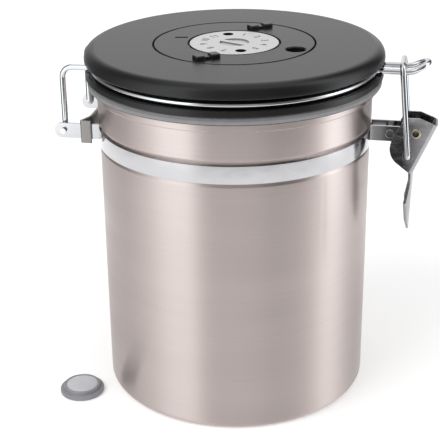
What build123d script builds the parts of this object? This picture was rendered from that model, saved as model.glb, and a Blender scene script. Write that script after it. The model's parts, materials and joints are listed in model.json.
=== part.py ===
# Coffee canister of about 1.5 litres: brushed steel shell, wire-hinged black lid with two date dials,
# cam-lever clasp, one-way valve in the lid and a spare valve beside the canister.
# Millimetres. The origin is the middle of the base, +Z is up, the hinge is at -X and the clasp at +X.
import math
import os

from build123d import *

os.makedirs("parts", exist_ok=True)

# Clearances and the overrun of every cut
overrun = 1.0
running_gap = 0.08
slip_gap = 0.10
turn_gap = 0.75

# Steel shell, from the foot up
body_radius = 61.5
shell_wall = 0.8
base_corner = 3.0
foot_recess = 1.2
foot_width = 6.3
foot_groove_width = 7.4
foot_corner = 0.6
shoulder_z = 117.6
shoulder_rise = 1.8
shoulder_corner = 1.4
groove_depth = 0.6
groove_corner = 0.4
neck_flare_height = 2.2
neck_step = 0.5
neck_height = 12.6
neck_corner = 0.9
rim_width = 2.0
rim_height = 3.8
rim_corner = 0.6

# Neck band with its hinge ears and clasp arms
band_height = 7.8
band_thickness = 1.25
bracket_height = 6.9
bracket_rise = 5.75
ear_inner_y = 20.9
ear_thickness = 1.2
ear_corner = 3.2
ear_end_length = 4.2
arm_outer_y = 4.6
arm_thickness = 1.0
arm_end_length = 3.1
arm_corner = 3.2

# Hinge axis, out from the band
hinge_reach = 12.4
hinge_pin_proud = 1.4

# Tie strap round the two ears
strap_thickness = 1.0
strap_height = 10.3
strap_cheek_length = 4.8
strap_fold_reach = 4.5
strap_fold_radius = 0.9
strap_back_reach = 1.4
strap_back_half = 15.5
strap_bend_radius = 4.0

# Rivets of the clasp
arm_rivet_reach = 8.4
arm_rivet_radius = 1.2
arm_rivet_head_radius = 2.0
arm_rivet_head_height = 0.7
arm_spacer_radius = 2.3
lever_pivot_reach = 19.9
lever_pivot_rise = 0.95
lever_rivet_radius = 1.8
lever_rivet_bore = 1.3
lever_rivet_head_radius = 2.3
lever_rivet_head_height = 0.55
lever_rivet_round_share = 0.8

# Lever, its corners given from its pivot
lever_thickness = 1.0
lever_side_gap = 0.15
lever_outer_bend = 2.0
lever_inner_bend = 1.0
lever_top_rise = 6.9
lever_top_back = 5.1
lever_top_front = 1.5
lever_corner_front = 9.3
lever_corner_rise = 3.7
lever_foot_back = 0.1
lever_foot_drop = 18.3
lever_heel_back = 1.9
lever_heel_drop = 19.0
lever_belly_back = 13.4
lever_belly_drop = 10.1
lever_belly_radius = 8.8
lever_top_radius = 3.0
lever_heel_radius = 0.5

# Finger tongue, from the foot of the lever down
tongue_thickness = 0.9
tongue_cup_radius = 8.5
tongue_root_height = 1.2
tongue_root_half = 4.6
tongue_length = 29.4
tongue_neck_share = 0.204
tongue_neck_half = 4.0
tongue_wide_share = 0.527
tongue_wide_half = 5.7
tongue_low_share = 0.816
tongue_low_half = 4.5
tongue_lean = 1.0
tongue_tip_half = 1.6
tongue_corner = 1.5

# Eyelets and wire link, from the lever's pivot
link_pivot_back = 3.0
link_pivot_drop = 10.9
eyelet_wall = 0.5
eyelet_head_width = 0.65
eyelet_head_height = 0.45
link_wire_radius = 1.25
link_half_width = 8.5
link_low_bend = 1.7
link_top_bend = 3.4
link_end_length = 4.2
link_bar_back = 7.1
link_bar_gap = 0.75

# Lid wire
lid_wire_radius = 1.3
lid_wire_gap = 0.2
catch_half_width = 5.25
catch_blend_radius = 2.6
catch_bend_front = 2.0
catch_bend_radius = 8.0
catch_bend_angle = 27.0
catch_straight = 0.5
hinge_leg_gap = 0.2
hinge_blend_radius = 3.0
hinge_top_bend = 4.6
hinge_foot_bend = 1.8

# Lid base, its flange and its plug
flange_overhang = 4.6
flange_thickness = 2.9
flange_corner = 0.5
lid_groove_depth = 4.8
lid_groove_height = 4.5
lid_wall = 2.0
plug_side_gap = 10.5
plug_depth = 9.6
plug_ledge = 2.0
plug_ledge_height = 1.0
plug_shoulder_width = 1.9
plug_shoulder_height = 3.8
plug_corner = 0.8

# Gasket
gasket_thickness = 3.6
gasket_inset = 0.6
gasket_corner = 0.7

# Lid cover
cover_overhang = 0.4
cover_height = 6.0
cover_thickness = 2.0
cover_edge_radius = 4.6
cover_low_corner = 0.6
dial_recess_radius = 36.5
dial_recess_depth = 2.6
dial_floor_thickness = 1.8

# Screws that hold the lid base to the cover
screw_count = 4
screw_inset = 6.35
screw_radius = 1.4
screw_head_radius = 2.5
screw_head_height = 1.1
screw_length = 8.4
screw_slot_width = 0.6
screw_slot_depth = 0.5
screw_boss_wall = 1.2

# Date ring
date_ring_width = 14.95
date_ring_lip_width = 4.3
date_ring_lip_height = 1.1
date_ring_corner = 0.35
window_radius = 4.3
window_inset = 6.15
window_angle = -15.5
window_chamfer = 0.5
slot_length = 6.0
slot_width = 1.8
slot_depth = 1.0
slot_inset = 10.15
slot_angle = 169.0
slot_turn = 21.0
nub_angles = (75.0, 255.0)
nub_inset = 7.55
nub_turn = -37.0
nub_spread = 3.6
nub_block_length = 4.6
nub_block_width = 4.8
nub_height = 1.8
nub_corner = 1.0
nub_bridge_width = 3.8
nub_bridge_height = 1.1

# Month dial
month_dial_gap = 0.9
month_dial_corner = 0.3
dial_lift = 0.2
finger_hole_radius = 2.45
finger_hole_inset = 5.4
finger_hole_angles = (111.0, 291.0)
grip_recess_radius = 6.6
grip_recess_depth = 0.8
grip_bar_width = 2.6
grip_angle = -24.0
spigot_radius = 4.0
spigot_groove_depth = 0.8
spigot_tip_height = 1.4
retainer_radius = 7.0
retainer_thickness = 0.8

# One-way valve, the same one in the lid and beside the canister
valve_radius = 10.3
valve_flange_height = 2.2
valve_collar_wall = 1.1
valve_collar_height = 1.7
valve_corner = 0.5
valve_bore_radius = 2.4
dome_radius = 7.4
dome_seat_height = 1.7
dome_thickness = 2.0
dome_crown = 1.1
spare_valve_gap = 6.84
spare_valve_angle = 210.15

# Valve seat that closes the plug, with the guard under it
seat_thickness = 1.5
seat_collar_width = 1.2
seat_collar_height = 1.6
vent_count = 6
vent_radius = 0.7
vent_place_radius = 1.5
guard_radius = 13.0
guard_depth = 2.4
guard_wall = 0.9
guard_hole_radius = 1.0
guard_hole_counts = (6, 12)
guard_hole_places = (4.2, 8.4)

# Radii that follow
foot_radius = body_radius - foot_width - foot_recess
panel_radius = foot_radius - foot_groove_width
groove_radius = body_radius - groove_depth
neck_radius = body_radius + neck_step
neck_inner_radius = neck_radius - shell_wall
rim_radius = neck_inner_radius + rim_width
band_inner_radius = groove_radius + slip_gap / 2
band_outer_radius = band_inner_radius + band_thickness
flange_radius = neck_radius + flange_overhang
cover_radius = flange_radius + cover_overhang
gasket_outer_radius = flange_radius - gasket_inset
lid_neck_radius = flange_radius - lid_groove_depth
lid_wire_ring_radius = lid_neck_radius + lid_wire_gap + lid_wire_radius
plug_radius = neck_inner_radius - plug_side_gap
plug_shoulder_radius = plug_radius + plug_shoulder_width
plug_inner_radius = plug_radius - plug_ledge
ledge_inner_radius = plug_inner_radius - plug_ledge
gasket_inner_radius = plug_shoulder_radius + slip_gap
cover_inner_radius = lid_neck_radius + slip_gap
screw_circle_radius = lid_neck_radius - screw_inset
screw_boss_radius = screw_radius + screw_boss_wall
date_ring_radius = dial_recess_radius - turn_gap
date_ring_inner_radius = date_ring_radius - date_ring_width
window_place_radius = date_ring_radius - window_inset
slot_place_radius = date_ring_radius - slot_inset
nub_place_radius = date_ring_radius - nub_inset
date_ring_lip_radius = date_ring_inner_radius - date_ring_lip_width
month_dial_radius = date_ring_inner_radius - month_dial_gap
finger_hole_place_radius = month_dial_radius - finger_hole_inset
spigot_groove_radius = spigot_radius - spigot_groove_depth
valve_collar_inner_radius = dome_radius + slip_gap
valve_collar_radius = valve_collar_inner_radius + valve_collar_wall
eyelet_bore = link_wire_radius + running_gap
eyelet_tube_radius = eyelet_bore + eyelet_wall

# Heights that follow
groove_floor_z = foot_recess + shell_wall
groove_low_z = shoulder_z + shoulder_rise
band_low_z = groove_low_z + slip_gap
band_high_z = band_low_z + band_height
groove_top_z = band_high_z + slip_gap
neck_low_z = groove_top_z + neck_flare_height
rim_low_z = neck_low_z + neck_height
rim_top_z = rim_low_z + rim_height
bracket_middle_z = band_low_z + bracket_rise
bracket_low_z = bracket_middle_z - bracket_height / 2
bracket_high_z = bracket_low_z + bracket_height
strap_middle_z = bracket_middle_z
flange_low_z = rim_top_z + gasket_thickness
flange_high_z = flange_low_z + flange_thickness
web_top_z = flange_low_z + lid_wall
cover_low_z = flange_high_z + lid_groove_height
cover_top_z = cover_low_z + cover_height
lid_neck_top_z = cover_top_z - cover_thickness
lid_wire_z = flange_high_z + lid_wire_gap + lid_wire_radius
plug_low_z = flange_low_z - plug_depth
plug_shoulder_z = flange_low_z - plug_shoulder_height
dial_recess_floor_z = cover_top_z - dial_recess_depth
dial_floor_low_z = dial_recess_floor_z - dial_floor_thickness
screw_top_z = flange_low_z + screw_length
date_ring_low_z = dial_recess_floor_z + slip_gap
date_ring_lip_z = date_ring_low_z + date_ring_lip_height
month_dial_low_z = date_ring_lip_z + dial_lift
retainer_top_z = dial_floor_low_z - slip_gap
retainer_low_z = retainer_top_z - retainer_thickness
seat_low_z = plug_low_z + plug_ledge_height
seat_top_z = seat_low_z + seat_thickness

# Places of the hinge and the clasp that follow
hinge_x = -(band_outer_radius + hinge_reach)
hinge_z = bracket_middle_z
ear_outer_y = ear_inner_y + ear_thickness
ear_end_x = hinge_x - ear_end_length
hinge_leg_y = ear_inner_y - hinge_leg_gap - hinge_foot_bend
strap_fold_x = -(band_outer_radius + strap_fold_reach)
strap_back_x = -(band_outer_radius + strap_back_reach)
arm_rivet_x = band_outer_radius + arm_rivet_reach
arm_rivet_z = bracket_middle_z
lever_pivot_x = band_outer_radius + lever_pivot_reach
lever_pivot_z = bracket_middle_z + lever_pivot_rise
arm_end_x = lever_pivot_x + arm_end_length
lever_inner_half = arm_outer_y + lever_side_gap
lever_outer_half = lever_inner_half + lever_thickness
lever_foot_x = lever_pivot_x - lever_foot_back
lever_foot_z = lever_pivot_z - lever_foot_drop
lever_corner_x = lever_pivot_x + lever_corner_front
lever_corner_z = lever_pivot_z + lever_corner_rise
lever_belly_x = lever_pivot_x - lever_belly_back
tongue_tip_x = lever_foot_x - tongue_lean
tongue_tip_z = lever_foot_z - tongue_length
link_pivot_x = lever_pivot_x - link_pivot_back
link_pivot_z = lever_pivot_z - link_pivot_drop
link_bar_x = lever_pivot_x - link_bar_back
link_bar_z = lid_wire_z + lid_wire_radius + link_wire_radius + link_bar_gap
catch_bend_x = link_bar_x + catch_bend_front


def outline(rows):
    """Closed face from rows of (across, up, corner radius)."""
    points = [(across, up) for across, up, corner in rows]
    return make_face(FilletPolyline(*points, radius=[corner for across, up, corner in rows], close=True))


def turned(rows):
    """Solid of revolution about Z from rows of (radius, height, corner radius)."""
    return revolve(Plane.XZ * outline(rows), Axis.Z)


def disc(radius, low, high, x=0, y=0):
    """Upright cylinder between two heights."""
    return Pos(x, y, low) * Cylinder(radius, high - low, align=(Align.CENTER, Align.CENTER, Align.MIN))


def cross_pin(radius, x, z, y_from, y_to):
    """Cylinder along Y through the point (x, z)."""
    along_y = Plane(origin=(x, y_from, z), x_dir=(1, 0, 0), z_dir=(0, 1, 0))
    return along_y * Cylinder(radius, y_to - y_from, align=(Align.CENTER, Align.CENTER, Align.MIN))


def side_plate(rows, y_from, y_to):
    """Plate parallel to XZ, from rows of (x, z, corner radius), between two values of y."""
    face = Plane(origin=(0, y_to, 0), x_dir=(1, 0, 0), z_dir=(0, -1, 0)) * outline(rows)
    return extrude(face, y_to - y_from)


def polar(radius, degrees):
    """Point on a circle about Z."""
    return radius * math.cos(math.radians(degrees)), radius * math.sin(math.radians(degrees))


def arc_about(start, centre, end):
    """Arc of under half a circle from start to end about centre."""
    start, centre, end = Vector(*start), Vector(*centre), Vector(*end)
    middle = ((start - centre) + (end - centre)).normalized() * (start - centre).length + centre
    return ThreePointArc(start, middle, end)


def can_shell():
    """Drawn shell with a ring groove pressed in its base, a groove under the neck and a rolled rim."""
    return turned([
        (0, 0, 0),
        (panel_radius, 0, foot_corner),
        (panel_radius + foot_recess, foot_recess, foot_corner),
        (foot_radius, foot_recess, foot_corner),
        (foot_radius + foot_recess, 0, foot_corner),
        (body_radius, 0, base_corner),
        (body_radius, shoulder_z, shoulder_corner),
        (groove_radius, groove_low_z, groove_corner),
        (groove_radius, groove_top_z, groove_corner),
        (neck_radius, neck_low_z, neck_corner),
        (neck_radius, rim_low_z, 0),
        (rim_radius, rim_low_z, rim_corner),
        (rim_radius, rim_top_z, rim_corner),
        (neck_inner_radius, rim_top_z, rim_corner),
        (neck_inner_radius, neck_low_z, neck_corner),
        (groove_radius - shell_wall, groove_top_z, groove_corner),
        (groove_radius - shell_wall, groove_low_z, groove_corner),
        (body_radius - shell_wall, shoulder_z, shoulder_corner),
        (body_radius - shell_wall, shell_wall, base_corner - shell_wall),
        (foot_radius + foot_recess, shell_wall, foot_corner),
        (foot_radius, groove_floor_z, foot_corner),
        (panel_radius + foot_recess, groove_floor_z, foot_corner),
        (panel_radius, shell_wall, foot_corner),
        (0, shell_wall, 0),
    ])


def neck_band_front():
    """Half of the neck band, with the hinge ear and the clasp arm bent out of it."""
    arm_inner_y = arm_outer_y - arm_thickness
    ring = disc(band_outer_radius, band_low_z, band_high_z)
    ring -= disc(band_inner_radius, band_low_z - overrun, band_high_z + overrun)
    reach = band_outer_radius + overrun
    tall = (Align.MIN, Align.MIN, Align.MIN)
    clasp_side = Pos(0, -arm_inner_y, band_low_z - overrun) * Box(
        reach, arm_inner_y + reach, band_height + 2 * overrun, align=tall)
    hinge_side = Pos(-reach, -ear_inner_y, band_low_z - overrun) * Box(
        reach, ear_inner_y + reach, band_height + 2 * overrun, align=tall)
    ring -= clasp_side + hinge_side
    root_x = math.sqrt(band_inner_radius ** 2 - arm_inner_y ** 2)
    arm = side_plate([
        (root_x, bracket_low_z, 0),
        (arm_end_x, bracket_low_z, arm_corner),
        (arm_end_x, bracket_high_z, arm_corner),
        (root_x, bracket_high_z, 0),
    ], -arm_outer_y, -arm_inner_y)
    root_x = -math.sqrt(band_inner_radius ** 2 - ear_inner_y ** 2)
    ear = side_plate([
        (root_x, bracket_low_z, 0),
        (root_x, bracket_high_z, 0),
        (ear_end_x, bracket_high_z, ear_corner),
        (ear_end_x, bracket_low_z, ear_corner),
    ], -ear_outer_y, -ear_inner_y)
    body = ring + arm + ear
    body -= disc(band_inner_radius, band_low_z - overrun, bracket_high_z + overrun)
    body -= disc(neck_radius + slip_gap, band_high_z, bracket_high_z + overrun)
    far = ear_outer_y + overrun
    body -= cross_pin(lid_wire_radius + running_gap, hinge_x, hinge_z, -far, 0)
    body -= cross_pin(lever_rivet_radius, lever_pivot_x, lever_pivot_z, -far, 0)
    body -= cross_pin(arm_rivet_radius, arm_rivet_x, arm_rivet_z, -far, 0)
    return body


def hinge_tie_strap():
    """Flat strap bent round the can side, slotted over both ears and folded along their outer faces."""
    fold_y = ear_outer_y + slip_gap + strap_thickness / 2
    cheek_x = strap_fold_x + strap_cheek_length
    path = FilletPolyline(
        (cheek_x, -fold_y), (strap_fold_x, -fold_y), (strap_back_x, -strap_back_half),
        (strap_back_x, strap_back_half), (strap_fold_x, fold_y), (cheek_x, fold_y),
        radius=[strap_fold_radius, strap_bend_radius, strap_bend_radius, strap_fold_radius])
    plan = make_face(offset(path, strap_thickness / 2, side=Side.BOTH))
    strap = Pos(0, 0, strap_middle_z - strap_height / 2) * extrude(plan, strap_height)
    for side in (1, -1):
        slot_middle_y = side * (ear_inner_y + ear_outer_y) / 2
        strap -= Pos(ear_end_x, slot_middle_y, bracket_middle_z) * Box(
            2 * (strap_back_x - ear_end_x), ear_thickness + 2 * slip_gap, bracket_height + 2 * slip_gap)
    return strap


def arm_rivet():
    """Solid rivet with a low head on each side of the clasp arms."""
    head_y = arm_outer_y + arm_rivet_head_height
    shaft = cross_pin(arm_rivet_radius, arm_rivet_x, arm_rivet_z, -head_y, head_y)
    heads = [cross_pin(arm_rivet_head_radius, arm_rivet_x, arm_rivet_z, low, low + arm_rivet_head_height)
             for low in (-head_y, arm_outer_y)]
    rims = [head.edges().filter_by(GeomType.CIRCLE).sort_by(lambda edge: abs(edge.center().Y))[-1:]
            for head in heads]
    rounded = [fillet(rim, arm_rivet_head_height / 2) for rim in rims]
    return shaft + rounded[0] + rounded[1]


def arm_spacer():
    """Sleeve that keeps the clasp arms apart."""
    half = arm_outer_y - arm_thickness
    sleeve = cross_pin(arm_spacer_radius, arm_rivet_x, arm_rivet_z, -half, half)
    return sleeve - cross_pin(arm_rivet_radius, arm_rivet_x, arm_rivet_z, -half - overrun, half + overrun)


def lever_pivot_rivet():
    """Hollow rivet on which the lever turns, with rolled ends."""
    inner_y = lever_outer_half + running_gap
    outer_y = inner_y + lever_rivet_head_height
    rivet = cross_pin(lever_rivet_radius, lever_pivot_x, lever_pivot_z, -outer_y, outer_y)
    for low in (-outer_y, inner_y):
        rivet += cross_pin(lever_rivet_head_radius, lever_pivot_x, lever_pivot_z,
                           low, low + lever_rivet_head_height)
    rims = rivet.edges().filter_by(GeomType.CIRCLE).sort_by(lambda edge: abs(edge.center().Y))[-2:]
    rivet = fillet(rims, lever_rivet_head_height * lever_rivet_round_share)
    far = outer_y + overrun
    return rivet - cross_pin(lever_rivet_bore, lever_pivot_x, lever_pivot_z, -far, far)


def lever():
    """Cam lever: a channel open towards the can, with a cupped finger tongue below."""
    profile = [
        (lever_pivot_x - lever_top_back, lever_pivot_z + lever_top_rise, lever_top_radius),
        (lever_belly_x, lever_pivot_z - lever_belly_drop, lever_belly_radius),
        (lever_pivot_x - lever_heel_back, lever_pivot_z - lever_heel_drop, lever_heel_radius),
        (lever_foot_x, lever_foot_z, 0),
        (lever_corner_x, lever_corner_z, 0),
        (lever_pivot_x + lever_top_front, lever_pivot_z + lever_top_rise, lever_top_radius),
    ]
    blank = side_plate(profile, -lever_outer_half, lever_outer_half)
    run = Vector(lever_corner_x - lever_foot_x, 0, lever_corner_z - lever_foot_z).normalized()
    outward = Vector(run.Z, 0, -run.X)
    middle = Vector((lever_corner_x + lever_foot_x) / 2, 0, (lever_corner_z + lever_foot_z) / 2)
    bends = blank.edges().filter_by(Axis(middle, run)).sort_by(
        lambda edge: (edge.center() - middle).dot(outward))[-2:]
    blank = fillet(bends, lever_outer_bend)
    web_plane = Plane(origin=(middle - outward * lever_thickness),
                      x_dir=run, z_dir=(-outward))
    long_side = 2 * (lever_foot_drop + lever_top_rise + tongue_length)
    cavity = web_plane * Box(long_side, 2 * lever_inner_half, long_side,
                             align=(Align.CENTER, Align.CENTER, Align.MIN))
    inner_bends = cavity.edges().filter_by(Axis(middle, run)).sort_by(
        lambda edge: (edge.center() - middle).dot(outward))[-2:]
    cavity = fillet(inner_bends, lever_inner_bend)
    channel = blank - cavity
    for side in (1, -1):
        low, high = sorted((0, side * 2 * lever_outer_half))
        channel -= cross_pin(lever_rivet_radius + running_gap, lever_pivot_x, lever_pivot_z, low, high)
        channel -= cross_pin(eyelet_tube_radius, link_pivot_x, link_pivot_z, low, high)
    return channel + tongue()


def tongue():
    """Leaf cut from a thin tube whose hollow side faces the can."""
    top = Vector(lever_foot_x, 0, lever_foot_z)
    tip = Vector(tongue_tip_x, 0, tongue_tip_z)
    along = (top - tip).normalized()
    across = Vector(0, 1, 0)
    outward = across.cross(along)
    back = tip - outward * tongue_cup_radius - along * tongue_cup_radius
    tube_plane = Plane(origin=back, x_dir=(0, 1, 0), z_dir=along)
    length = (top - tip).length + 2 * tongue_cup_radius
    low = (Align.CENTER, Align.CENTER, Align.MIN)
    tube = tube_plane * Cylinder(tongue_cup_radius, length, align=low)
    tube -= tube_plane * Cylinder(tongue_cup_radius - tongue_thickness, length, align=low)
    half_leaf = [
        (tongue_root_half, lever_foot_z + tongue_root_height, 0),
        (tongue_neck_half, lever_foot_z - tongue_length * tongue_neck_share, tongue_corner),
        (tongue_wide_half, lever_foot_z - tongue_length * tongue_wide_share, tongue_cup_radius),
        (tongue_low_half, lever_foot_z - tongue_length * tongue_low_share, tongue_cup_radius),
        (tongue_tip_half, tongue_tip_z, tongue_corner),
    ]
    other_half = [(-across_y, up, corner) for across_y, up, corner in reversed(half_leaf)]
    leaf_plane = Plane(origin=(lever_belly_x, 0, 0), x_dir=(0, 1, 0), z_dir=(1, 0, 0))
    leaf = extrude(leaf_plane * outline(half_leaf + other_half), lever_corner_x - lever_belly_x)
    near_side = Pos(tongue_tip_x, 0, tongue_tip_z) * Box(
        2 * tongue_cup_radius, 2 * tongue_cup_radius, 2 * length)
    return tube & leaf & near_side


def link_eyelets():
    """Two eyelets in the lever's sides, each with a rolled head outside."""
    head_radius = eyelet_tube_radius + eyelet_head_width
    head_end = lever_outer_half + eyelet_head_height
    eyelets = []
    for side in (1, -1):
        low, high = sorted((side * lever_inner_half, side * lever_outer_half))
        head_low, head_high = sorted((side * lever_outer_half, side * head_end))
        eyelet = cross_pin(eyelet_tube_radius, link_pivot_x, link_pivot_z, low, high)
        head = cross_pin(head_radius, link_pivot_x, link_pivot_z, head_low, head_high)
        rim = head.edges().filter_by(GeomType.CIRCLE).sort_by(lambda edge: abs(edge.center().Y))[-1:]
        eyelet += fillet(rim, eyelet_head_height / 2)
        eyelets.append(eyelet - cross_pin(eyelet_bore, link_pivot_x, link_pivot_z,
                                          low - lever_outer_half, high + lever_outer_half))
    return Compound(children=eyelets)


def clasp_link():
    """Wire link in one plane: two inward ends, two legs and the bar over the catch loop."""
    foot = Vector(link_pivot_x, 0, link_pivot_z)
    rise = Vector(link_bar_x, 0, link_bar_z) - foot
    link_plane = Plane(origin=foot, x_dir=(0, 1, 0), z_dir=(Vector(0, 1, 0).cross(rise)))
    length = rise.length
    path = link_plane * FilletPolyline(
        (link_end_length - link_half_width, 0), (-link_half_width, 0), (-link_half_width, length),
        (link_half_width, length), (link_half_width, 0), (link_half_width - link_end_length, 0),
        radius=[link_low_bend, link_top_bend, link_top_bend, link_low_bend])
    start = Plane(origin=(path @ 0), z_dir=(path % 0))
    return sweep(start * Circle(link_wire_radius), path)


def lid_wire_half():
    """Edges of the near half of the lid wire, from the hinge pin to the end of the catch loop's run."""
    ring_z = lid_wire_z
    angle = math.radians(catch_bend_angle)
    pin_y = -(ear_outer_y + hinge_pin_proud)
    foot_y = -(hinge_leg_y + hinge_foot_bend)
    foot_top_z = hinge_z + hinge_foot_bend
    leg_top_z = ring_z - hinge_top_bend
    run_x = hinge_x + hinge_top_bend
    hinge_centre_x = -math.sqrt((lid_wire_ring_radius + hinge_blend_radius) ** 2
                                - (hinge_leg_y + hinge_blend_radius) ** 2)
    catch_centre_x = math.sqrt((lid_wire_ring_radius + catch_blend_radius) ** 2
                               - (catch_half_width + catch_blend_radius) ** 2)
    hinge_centre = Vector(hinge_centre_x, -(hinge_leg_y + hinge_blend_radius), ring_z)
    catch_centre = Vector(catch_centre_x, -(catch_half_width + catch_blend_radius), ring_z)
    hinge_share = lid_wire_ring_radius / (lid_wire_ring_radius + hinge_blend_radius)
    catch_share = lid_wire_ring_radius / (lid_wire_ring_radius + catch_blend_radius)
    hinge_meet = (hinge_centre.X * hinge_share, hinge_centre.Y * hinge_share, ring_z)
    catch_meet = (catch_centre.X * catch_share, catch_centre.Y * catch_share, ring_z)
    bend_end = (catch_bend_x + catch_bend_radius * math.sin(angle), -catch_half_width,
                ring_z + catch_bend_radius * (1 - math.cos(angle)))
    tip_start = (bend_end[0] + catch_straight * math.cos(angle), -catch_half_width,
                 bend_end[2] + catch_straight * math.sin(angle))
    edges = [
        Line((hinge_x, pin_y, hinge_z), (hinge_x, foot_y, hinge_z)),
        arc_about((hinge_x, foot_y, hinge_z), (hinge_x, foot_y, foot_top_z),
                  (hinge_x, -hinge_leg_y, foot_top_z)),
        Line((hinge_x, -hinge_leg_y, foot_top_z), (hinge_x, -hinge_leg_y, leg_top_z)),
        arc_about((hinge_x, -hinge_leg_y, leg_top_z), (run_x, -hinge_leg_y, leg_top_z),
                  (run_x, -hinge_leg_y, ring_z)),
        Line((run_x, -hinge_leg_y, ring_z), (hinge_centre.X, -hinge_leg_y, ring_z)),
        arc_about((hinge_centre.X, -hinge_leg_y, ring_z), hinge_centre, hinge_meet),
        ThreePointArc(hinge_meet, (0, -lid_wire_ring_radius, ring_z), catch_meet),
        arc_about(catch_meet, catch_centre, (catch_centre.X, -catch_half_width, ring_z)),
        Line((catch_centre.X, -catch_half_width, ring_z), (catch_bend_x, -catch_half_width, ring_z)),
        arc_about((catch_bend_x, -catch_half_width, ring_z),
                  (catch_bend_x, -catch_half_width, ring_z + catch_bend_radius), bend_end),
        Line(bend_end, tip_start),
    ]
    return edges, tip_start


def lid_wire():
    """The lid's one wire: hinge pins and legs, a ring round the lid, and the upturned catch loop."""
    near, tip_start = lid_wire_half()
    angle = math.radians(catch_bend_angle)
    tip = (tip_start[0] + catch_half_width * math.cos(angle), 0,
           tip_start[2] + catch_half_width * math.sin(angle))
    turn = ThreePointArc(tip_start, tip, (tip_start[0], catch_half_width, tip_start[2]))
    far = [edge.mirror(Plane.XZ) for edge in near]
    path = Wire(near + [turn] + far)
    start = Plane(origin=(near[0] @ 0), z_dir=(0, 1, 0))
    return sweep(start * Circle(lid_wire_radius), path)


def lid_base():
    """Lower half of the lid: flange over the gasket, wall inside the cover and plug with its ledge."""
    base = turned([
        (ledge_inner_radius, plug_low_z, flange_corner / 2),
        (plug_radius, plug_low_z, plug_corner),
        (plug_radius, plug_shoulder_z, 0),
        (plug_shoulder_radius, plug_shoulder_z, flange_corner / 2),
        (plug_shoulder_radius, flange_low_z, 0),
        (flange_radius, flange_low_z, flange_corner),
        (flange_radius, flange_high_z, flange_corner),
        (lid_neck_radius, flange_high_z, flange_corner / 2),
        (lid_neck_radius, lid_neck_top_z, 0),
        (lid_neck_radius - lid_wall, lid_neck_top_z, 0),
        (lid_neck_radius - lid_wall, web_top_z, flange_corner),
        (plug_inner_radius, web_top_z, flange_corner),
        (plug_inner_radius, seat_low_z, 0),
        (ledge_inner_radius, seat_low_z, 0),
    ])
    for x, y in screw_places():
        base -= disc(screw_radius + slip_gap, flange_low_z - overrun, web_top_z + overrun, x, y)
        base -= disc(screw_head_radius + slip_gap, flange_low_z - overrun,
                     flange_low_z + screw_head_height + slip_gap, x, y)
    return base


def gasket():
    """Grey ring between the rim and the lid's flange."""
    return turned([
        (gasket_inner_radius, rim_top_z, gasket_corner / 2),
        (gasket_outer_radius, rim_top_z, gasket_corner),
        (gasket_outer_radius, flange_low_z, gasket_corner),
        (gasket_inner_radius, flange_low_z, gasket_corner / 2),
    ])


def screw_places():
    """Middles of the lid screws, on a circle."""
    step = 360 / screw_count
    return [polar(screw_circle_radius, step * (number + 1 / 2)) for number in range(screw_count)]


def lid_cover():
    """Black cap with a rounded edge, a recess for the dials and a boss for each screw."""
    cover = turned([
        (spigot_radius + running_gap, dial_floor_low_z, 0),
        (dial_recess_radius + lid_wall, dial_floor_low_z, flange_corner),
        (dial_recess_radius + lid_wall, lid_neck_top_z, flange_corner),
        (cover_inner_radius, lid_neck_top_z, 0),
        (cover_inner_radius, cover_low_z, 0),
        (cover_radius, cover_low_z, cover_low_corner),
        (cover_radius, cover_top_z, cover_edge_radius),
        (dial_recess_radius, cover_top_z, date_ring_corner),
        (dial_recess_radius, dial_recess_floor_z, 0),
        (spigot_radius + running_gap, dial_recess_floor_z, 0),
    ])
    for x, y in screw_places():
        cover += disc(screw_boss_radius, web_top_z, lid_neck_top_z + cover_thickness / 2, x, y)
        cover -= disc(screw_radius, web_top_z - overrun, screw_top_z + slip_gap, x, y)
    return cover


def lid_screws():
    """Screws from below, with a slot in each head."""
    screws = []
    for x, y in screw_places():
        screw = disc(screw_radius, flange_low_z, screw_top_z, x, y)
        screw += disc(screw_head_radius, flange_low_z, flange_low_z + screw_head_height, x, y)
        screw -= Pos(x, y, flange_low_z) * Box(
            2 * screw_head_radius + overrun, screw_slot_width, 2 * screw_slot_depth)
        screws.append(screw)
    return Compound(children=screws)


def date_ring():
    """Black ring with a round window, an index slot and a lip under the month dial."""
    ring = turned([
        (date_ring_lip_radius, date_ring_low_z, 0),
        (date_ring_radius, date_ring_low_z, 0),
        (date_ring_radius, cover_top_z, date_ring_corner),
        (date_ring_inner_radius, cover_top_z, date_ring_corner),
        (date_ring_inner_radius, date_ring_lip_z, 0),
        (date_ring_lip_radius, date_ring_lip_z, 0),
    ])
    x, y = polar(window_place_radius, window_angle)
    ring -= disc(window_radius, date_ring_low_z - overrun, cover_top_z + overrun, x, y)
    rim = ring.edges().filter_by(GeomType.CIRCLE).filter_by(
        lambda edge: abs(edge.radius - window_radius) < window_chamfer).sort_by(Axis.Z)[-1:]
    ring = chamfer(rim, window_chamfer)
    slot_box = Box(slot_length, slot_width, 2 * slot_depth)
    slot = fillet(slot_box.edges().filter_by(Axis.Z), slot_width / 3)
    ring -= Rot(0, 0, slot_angle) * Pos(slot_place_radius, 0, cover_top_z) * Rot(0, 0, slot_turn) * slot
    return ring


def thumb_nubs():
    """Two low grips on the date ring, each of two blocks and a bridge, slanting across the ring."""
    low = (Align.CENTER, Align.CENTER, Align.MIN)
    block = Box(nub_block_length, nub_block_width, nub_height, align=low)
    block = fillet(block.edges().filter_by(Axis.Z), nub_corner)
    block = fillet(block.faces().sort_by(Axis.Z)[-1].edges(), nub_height / 3)
    grip = Box(2 * nub_spread, nub_bridge_width, nub_bridge_height, align=low)
    for side in (1, -1):
        grip += Pos(side * nub_spread, 0, 0) * block
    return Compound(children=[
        Rot(0, 0, angle) * Pos(nub_place_radius, 0, cover_top_z) * Rot(0, 0, nub_turn) * grip
        for angle in nub_angles])


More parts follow.
